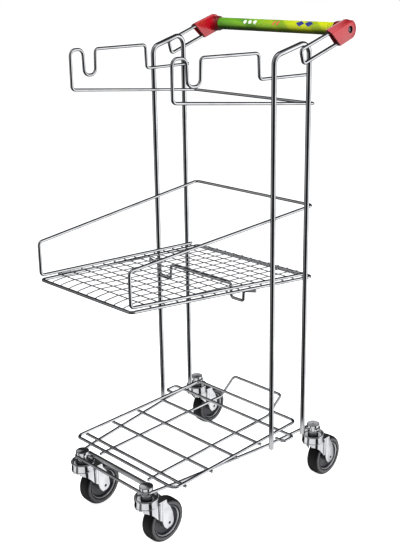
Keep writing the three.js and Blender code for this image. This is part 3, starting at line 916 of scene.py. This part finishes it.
def bore_along(start, direction, radius, length):
    """A round cutter from start along direction."""
    bore = lathe("bore", disc_profile(radius, 0, length), "Z", 40)
    turn = Vector((0, 0, 1)).rotation_difference(direction).to_matrix().to_4x4()
    bore.data.transform(Matrix.Translation(start) @ turn)
    return bore


def mouth_recess():
    """The pocket in the sloping mouth, between the two wire holes."""
    along = MOUTH_BOTTOM - MOUTH_TOP
    out = Vector((along.y, -along.x)).normalized()
    near, far = MOUTH_TOP + along * 0.23, MOUTH_TOP + along * 0.77
    depth = 4.5 * MM
    outline = [near + out * 5 * MM, far + out * 5 * MM, far - out * depth, near - out * depth]
    outline = rounded(outline, 1.2 * MM)
    return plate("recess", outline, CLAMP_INNER + 5.5 * MM, CLAMP_OUTER - 5 * MM, 0.8 * MM)


def mirror_if_left(piece, side):
    """Mirrors a piece that is drawn on the right when its side is the left."""
    if side < 0:
        piece.data.transform(Matrix.Scale(-1, 4, (1, 0, 0)))
        piece.data.flip_normals()


def handle_clamp(word, side):
    """The block and its collar, bored for the bar and the loop's wires, with a well for the screw."""
    clamp = clamp_block(f"fine_handle_clamp_{word}")
    start, radius, end = CLAMP_COLLAR_START, CLAMP_COLLAR_RADIUS, CLAMP_INNER + 5 * MM
    collar = rounded([
        (0, start), (radius - 2 * MM, start), (radius, start + 5 * MM), (radius + 0.6 * MM, end), (0, end),
    ], 1.5 * MM, closed=False)
    combine(clamp, turned_on_bar("collar", collar), "UNION")
    bore = disc_profile(BAR_RADIUS + 0.2 * MM, start - 5 * MM, BAR_HALF_LENGTH + 0.3 * MM)
    well = [
        (0, 212 * MM), (6.2 * MM, 212 * MM), (6.6 * MM, 217 * MM), (CLAMP_WELL_RADIUS, 219 * MM),
        (CLAMP_WELL_RADIUS, 225 * MM), (0, 225 * MM),
    ]
    shank = disc_profile(2.5 * MM, 195 * MM, 214 * MM)
    for profile in (bore, well, shank):
        combine(clamp, turned_on_bar("cutter", profile), "DIFFERENCE")
    loop = centre_line("handle_loop_right", LOOP_DIAMETER)
    for tip, next_point in ((loop[0], loop[1]), (loop[-1], loop[-2])):
        direction = (next_point - tip).normalized()
        wire_hole = bore_along(tip - direction * MM, direction, LOOP_DIAMETER / 2 + 0.2 * MM, 70 * MM)
        combine(clamp, wire_hole, "DIFFERENCE")
    combine(clamp, mouth_recess(), "DIFFERENCE")
    mirror_if_left(clamp, side)
    smooth(clamp, math.radians(32))
    stand_for(clamp, f"handle_clamp_{word}", CLAMP_RED)


def clamp_screw(word, side):
    """A dome-headed screw with a hexagonal drive."""
    head_low, head_high, head_radius, drive_radius = 214.8 * MM, 217.6 * MM, 5 * MM, 2.1 * MM
    shoulder = head_low + 1.2 * MM
    profile = [
        (0, 190 * MM), (1.6 * MM, 190.6 * MM), (2.2 * MM, 191.6 * MM), (2.2 * MM, head_low),
        (head_radius, head_low),
    ]
    for k in range(6):
        angle = math.radians(15 * k)
        profile.append((head_radius * math.cos(angle), shoulder + (head_high - shoulder) * math.sin(angle)))
    screw = turned_on_bar(f"fine_handle_screw_{word}", profile + [(0, head_high)])
    centre = (BAR_CENTRE.y, BAR_CENTRE.z)
    hexagon = [Vector(on_circle(drive_radius, 60 * k, centre)) for k in range(6)]
    combine(screw, plate("drive", hexagon, 216 * MM, 220 * MM, 0.1 * MM), "DIFFERENCE")
    mirror_if_left(screw, side)
    smooth(screw, math.radians(35))
    stand_for(screw, f"handle_screw_{word}", ZINC)


def tube_plug(word, side):
    profile = ring_profile(2.5 * MM, 10.9 * MM, 186 * MM, BAR_HALF_LENGTH - 0.3 * MM, 0.6 * MM)
    plug = turned_on_bar(f"fine_handle_tube_plug_{word}", profile)
    mirror_if_left(plug, side)
    stand_for(plug, f"handle_tube_plug_{word}", PLUG_BLACK)


handle_tube()
grip_sleeve()
for word, side in SIDES:
    handle_clamp(word, side)
    clamp_screw(word, side)
    tube_plug(word, side)

# -------- casters
# Each piece is drawn once, with the swivel axis on Z or the axle on X, and copied to four places.

def socket_mesh():
    """The stem's sleeve, with a flange at its foot and a rolled lip at its top."""
    return lathe("socket", rounded_mm([
        (7, 128.6), (12.6, 128.6), (12.6, 131.4), (10.2, 133.6), (10.2, 143.4), (12.2, 144.2), (12.2, 145.7),
        (7, 145.7),
    ], 0.6, steps=3))


def cap_mesh():
    """A pressed cap: a flat top with a small dimple and a thin raised edge, and a skirt over the lip."""
    return lathe("cap", rounded_mm([
        (0, 146.4), (13.6, 146.4), (13.6, 145.4), (15.5, 145.4), (15.5, 151.6), (15.0, 152.3), (14.2, 152.3),
        (13.8, 151.8), (1.9, 151.6), (1.3, 150.8), (0, 150.8),
    ], 0.4, closed=False))


def stem_mesh():
    """Nut, pin and upper race, in one turned piece."""
    return lathe("stem", rounded_mm([
        (0, 112.5), (8.4, 112.5), (9, 113.3), (9, 118.4), (5, 118.4), (5, 122.5), (12.4, 122.5), (13.4, 124),
        (12.6, 126.4), (9.2, 128.2), (6.6, 128.2), (6.6, 145.6), (0, 145.6),
    ], 0.5, closed=False, steps=3))


def fork_head():
    """The head's ring, with a rolled rim on top and small crimped tabs below it in front."""
    profile = rounded_mm([
        (5.6, 119.2), (23.6, 119.2), (24.8, 117), (24.8, 106.4), (25.4, 105.6), (27.2, 105.6), (27.2, 107.6),
        (26.6, 108.6), (26.6, 123.0), (27.8, 123.6, 1.2), (27.6, 127.2, 1.6), (24.4, 127.0, 1.4),
        (21.4, 121.8, 2), (13.6, 121.6), (5.6, 121.8),
    ], 0.5)
    head = lathe("head", profile, segments=2 * LATHE_SEGMENTS)
    for vertex in head.data.vertices:
        x, y, z = vertex.co
        from_front = math.atan2(x, -y)
        foot = max(0.0, min(1.0, (107.4 * MM - z) / (1.6 * MM)))
        inside = max(0.0, min(1.0, (TAB_REACH - abs(math.degrees(from_front))) / 6))
        tab = 0.5 + 0.5 * math.cos(TABS_IN_TURN * from_front)
        vertex.co.z = z - TAB_LENGTH * foot * inside * min(1.0, 1.6 * tab)
    return head


def bent_sheet(name, side, stations, edge):
    """A sheet along a line in plan. A station is its outer and inner (x, y), low edge and high edge."""
    rings = []
    for outer, inner, low, high in stations:
        corners = ((outer, low), (outer, high), (inner, high), (inner, low))
        rings.append([(side * x, y, z) for (x, y), z in corners])
    sheet = loft(name, rings)
    bevel = sheet.modifiers.new("edge", "BEVEL")
    bevel.width = edge
    bevel.segments = 2
    bevel.angle_limit = math.radians(40)
    bake_modifiers(sheet)
    return sheet


def apron(side):
    """The leg's front: it wraps round under the head, and its lower edge follows the wheel."""
    front, back = APRON_RADIUS * math.sin(math.radians(APRON_START)), SLOT_FRONT

    def station(outer, inner):
        share = (outer[1] - front) / (back - front)
        low = 97.5 * MM - 27.5 * MM * max(0.0, share) ** 1.7
        return outer, inner, low, 119.6 * MM

    inside = APRON_RADIUS - SHEET
    stations = []
    for k in range(15):
        degrees = APRON_START * (1 - k / 14)
        stations.append(station(on_circle(APRON_RADIUS, degrees), on_circle(inside, degrees)))
    for k in range(1, 7):
        y = SLOT_FRONT * k / 6
        stations.append(station((APRON_RADIUS, y), (inside, y)))
    return bent_sheet("apron", side, stations, 0.5 * MM)


def flange(side):
    """The rounded rib behind the slot; it runs back under the edge of the raised panel."""
    bend = 2.6 * MM
    centre = (RIB_OUTER - bend, SLOT_FRONT + SLOT_WIDTH + bend)
    stations = []
    for k in range(9):
        degrees = -100 + 100 * k / 8
        outer, inner = on_circle(bend, degrees, centre), on_circle(0.8 * MM, degrees, centre)
        stations.append((outer, inner, 65 * MM, 110 * MM))
    back = PANEL_FRONT + MM
    stations.append(((RIB_OUTER, back), (RIB_OUTER - 1.8 * MM, back), 60 * MM, 110 * MM))
    return bent_sheet("flange", side, stations, 0.4 * MM)


def leg_panel(side):
    """The raised plate of a leg: narrow at the top, a step, then wide down to a blunt tip at the axle."""
    pad = Vector((WHEEL_TRAIL - MM, WHEEL_RADIUS + 1.8 * MM))
    outline = [
        (PANEL_FRONT, 58 * MM, 5 * MM), (PANEL_FRONT, 109 * MM, 2 * MM), (38 * MM, 109 * MM, 2 * MM),
        (39.2 * MM, 101 * MM, 4 * MM), (48 * MM, 89 * MM, 12 * MM), (54.6 * MM, 72 * MM, 12 * MM),
    ]
    for k in range(11):
        y, z = on_circle(14.2 * MM, 10 - 108 * k / 10, pad)
        outline.append((y, z, 0))
    outline += [(36.5 * MM, 36.3 * MM, 6 * MM), (28 * MM, 46.5 * MM, 10 * MM)]
    low, high = sorted((side * LEG_INNER, side * PANEL_OUTER))
    panel = plate("panel", rounded(outline, 0, steps=6), low, high, MM)
    bore = lathe("bore", disc_profile(AXLE_RADIUS + 0.1 * MM, -30 * MM, 30 * MM), "X", 48)
    bore.data.transform(Matrix.Translation((0, WHEEL_TRAIL, WHEEL_RADIUS)))
    combine(panel, bore, "DIFFERENCE")
    return panel


def bridge():
    """The sheet over the wheel that ties the legs together; it slopes down to each panel's top."""
    top, shoulder, foot = 118.5 * MM, 110.5 * MM, 108 * MM
    out = PANEL_OUTER - 0.4 * MM

    def arch_line(reach, shoulder, top, half_flat, top_radius, radius):
        """From the foot on one side, over the top, to the foot on the other."""
        half = [(reach, foot), (reach, shoulder), (half_flat, top, top_radius)]
        other = [(-x, z, *rest) for x, z, *rest in half[::-1]]
        return rounded(half + other, radius, closed=False, steps=5)

    outer = arch_line(-out, shoulder, top, -4 * MM, 9 * MM, 2.2 * MM)
    inner = arch_line(out - SHEET, shoulder - 1.2 * MM, top - SHEET, 3.6 * MM, 8 * MM, MM)
    arch = plate("bridge", outer + inner, 16 * MM, 38 * MM, 0.5 * MM)
    # plate() draws across X; here X and Y change places.
    for vertex in arch.data.vertices:
        y, x, z = vertex.co
        lean = 0.5 * max(0.0, z - 109 * MM) if y > 30 * MM else 0.0
        vertex.co = (x, y - lean, z)
    face_outwards(arch)
    return arch


def fork_mesh():
    pieces = [fork_head(), bridge()]
    for side in (-1, 1):
        pieces += [apron(side), flange(side), leg_panel(side)]
    return merge("fork", pieces)


def axle_mesh():
    """A pin with a small flush rivet at each end, and a deep hole in each rivet."""
    out = PANEL_OUTER
    half = [
        (AXLE_RADIUS, out), (3.2 * MM, out + 0.4 * MM), (2.6 * MM, out + 0.4 * MM), (2.1 * MM, out),
        (1.8 * MM, out - 9 * MM), (0, out - 9.4 * MM),
    ]
    return lathe("axle", [(r, -x) for r, x in half[::-1]] + half, "X", 48)


def turned_on_axle(name, half, radius):
    """A wheel piece from the half of its section on one side of the middle, in millimetres."""
    section = half + [(r, -x, *rest) for r, x, *rest in half[::-1]]
    return lathe(name, rounded_mm(section, radius, steps=3), "X", FINE_SEGMENTS)


def tyre_mesh():
    """A full-section tyre: crowned tread, rounded shoulders and a moulded bead line on each wall."""
    return turned_on_axle("tyre", [
        (36, 13.4), (36.8, 15), (38, 15.8), (41, 16), (43.4, 15.6), (44.2, 15.0), (45.2, 15.0), (47.6, 13.6),
        (49.2, 11.4), (49.8, 8.5), (50, 4),
    ], 1.2)


def hub_mesh():
    """The wheel centre: a rim lip, a deep dished web and a boss, the same on both faces."""
    return turned_on_axle("hub", [
        (4.6, 18.8), (8.6, 18.8), (9.6, 17.8), (11, 10.6), (15, 7.6, 3), (25, 6.0, 6), (29.8, 7.0, 1.5),
        (34.4, 14.6), (35.6, 15.2),
    ], 0.6)


def casters():
    sources = {
        "socket": (socket_mesh(), CHROME_CASTER),
        "cap": (cap_mesh(), CHROME_CASTER),
        "stem": (stem_mesh(), ZINC),
        "fork": (fork_mesh(), CHROME_CASTER),
        "axle": (axle_mesh(), RIVET_STEEL),
        "tyre": (tyre_mesh(), TYRE_RUBBER),
        "hub": (hub_mesh(), HUB_PLASTIC),
    }
    for word in CASTERS:
        low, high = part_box(f"caster_cap_{word}")
        swivel = Vector(((low.x + high.x) / 2, (low.y + high.y) / 2, 0))
        wheel = swivel + Vector((0, WHEEL_TRAIL, WHEEL_RADIUS))
        for kind, (source, material) in sources.items():
            node = f"caster_{kind}_{word}"
            piece = new_object("fine_" + node, source.data)
            piece.location = wheel if kind in ("axle", "tyre", "hub") else swivel
            stand_for(piece, node, material)
    for source, _ in sources.values():
        bpy.data.objects.remove(source)


casters()

# -------- studio

DULL_LIGHT = 0.34
FLOOR_BOUNCE = 0.12
FLOOR_GLOW = 0.82
# The length of a reflected ray within which the floor is seen as pool_light(), in metres.
POOL_REACH = 0.355
POOL_EDGE = 0.035
FLOOR_HALF_SIZE = 30.0


def screened(g, direction, value, screens):
    """Changes a brightness wherever direction is near a screen.

    Each screen is a direction, its inner and outer half angles in degrees, and its brightness.
    """
    for axis, inner, outer, brightness in screens:
        towards = Vector(axis).normalized()
        closeness = g.vector_math("DOT_PRODUCT", {0: direction, 1: towards}, "Value")
        amount = g.step(closeness, math.cos(math.radians(outer)), math.cos(math.radians(inner)))
        value = g.blend(amount, value, brightness)
    return value


def studio_light(g, direction):
    """Brightness of the far studio in a reflection: a pale horizon, a grey belt above and a dim floor."""
    height = g.split(direction)["Z"]
    value = g.step(height, -0.62, -0.30, 0.26, 0.72)
    belt = g.times(g.step(height, 0.36, 0.54), g.step(height, 0.80, 0.93, 1.0, 0.0))
    value = g.minus(value, g.times(belt, 0.44))
    return screened(g, direction, value, (
        ((-0.75, -0.40, 0.45), 25, 60, 0.34),
        ((0.645, -0.71, -0.28), 20, 92, 0.01),
        ((-0.48, 0.74, 0.36), 58, 78, 0.03),
        ((-0.56, 0.70, 0.44), 9, 13, 0.8),
        ((-0.72, -0.15, -0.66), 25, 50, 0.06),
        ((0.72, 0.66, -0.22), 16, 36, 1.3),
    ))


def pool_light(g, direction):
    """Brightness of the floor just beside a low part, in a reflection: white paper and dark strips."""
    flat = g.vector_math("MULTIPLY", {0: direction, 1: (1, 1, 0)})
    level = g.vector_math("NORMALIZE", {0: flat})

    def towards(degrees):
        return (*on_circle(1.0, degrees), 0.0)

    return screened(g, level, 0.95, (
        (towards(47), 30, 45, 1.12),
        (towards(-8), 13, 18, 0.02),
        (towards(-104), 9, 16, 0.14),
        (towards(168), 32, 42, 0.02),
    ))


def world():
    """White to the camera, plain soft light on dull surfaces, and the studio in reflections."""
    scene_world = bpy.data.worlds.new("studio")
    scene_world.use_nodes = True
    bpy.context.scene.world = scene_world
    g = Graph(scene_world.node_tree)
    mirrored = studio_light(g, g.add("ShaderNodeTexCoord").outputs["Generated"])
    lit = g.blend(g.is_ray("Glossy"), DULL_LIGHT, mirrored)
    seen = g.blend(g.is_ray("Camera"), lit, 1.0)
    background = g.add("ShaderNodeBackground", {"Color": (1, 1, 1, 1), "Strength": seen})
    g.add("ShaderNodeOutputWorld", {"Surface": background.outputs[0]})


def floor_material():
    """Pale matt floor; reflections see the studio's brightness in its place."""
    material, g = new_graph("floor")
    direction = g.vector_math("SCALE", {0: g.geometry("Incoming"), 3: -1.0})
    matt = g.add("ShaderNodeBsdfDiffuse", {"Color": (0.93, 0.93, 0.93, 1)})
    lift = g.add("ShaderNodeEmission", {"Strength": FLOOR_GLOW})
    pale = g.add("ShaderNodeAddShader", {0: matt.outputs[0], 1: lift.outputs[0]})
    bounce = g.add("ShaderNodeEmission", {"Strength": FLOOR_BOUNCE})
    ray_length = g.add("ShaderNodeLightPath").outputs["Ray Length"]
    pool = g.step(ray_length, POOL_REACH - POOL_EDGE, POOL_REACH + POOL_EDGE, 1.0, 0.0)
    mirrored = g.blend(pool, studio_light(g, direction), pool_light(g, direction))
    studio = g.add("ShaderNodeEmission", {"Strength": mirrored})
    unseen = g.mix_shaders(g.is_ray("Glossy"), bounce, studio)
    g.output(g.mix_shaders(g.is_ray("Camera"), unseen, pale))
    return material


def floor():
    half = FLOOR_HALF_SIZE
    corners = [(-half, -half, 0), (half, -half, 0), (half, half, 0), (-half, half, 0)]
    ground = mesh_piece("floor", corners, [(0, 1, 2, 3)])
    ground.data.materials.append(floor_material())


def area_light(name, place, target, size, watts):
    """A soft lamp. Reflections see the studio alone, so it never burns thin wires out."""
    light = bpy.data.lights.new(name, "AREA")
    light.shape = "DISK"
    light.size = size
    light.energy = watts
    lamp = new_object(name, light)
    lamp.location = place
    lamp.visible_glossy = False
    lamp.rotation_euler = (Vector(place) - Vector(target)).to_track_quat("Z", "Y").to_euler()


def camera():
    """The eye is 2.3 m from the trolley, to its right front; the lens is shifted to frame it."""
    lens = bpy.data.cameras.new("camera")
    lens.sensor_fit = "VERTICAL"
    lens.sensor_height = 36
    lens.lens = 57.85
    lens.shift_x = -0.0884
    lens.shift_y = -0.0722
    eye = new_object("camera", lens)
    eye.location = (1.4064, -1.3521, 1.2028)
    eye.rotation_euler = (math.radians(90 - 16.345), 0, math.radians(42.25))
    bpy.context.scene.camera = eye


world()
floor()
area_light("key", (2.6, -0.5, 1.7), (0, 0, 0.6), 1.2, 64)
area_light("top", (0.0, -0.7, 3.0), (0, 0, 0.6), 1.6, 46)
camera()
bpy.context.scene.view_settings.view_transform = "Standard"
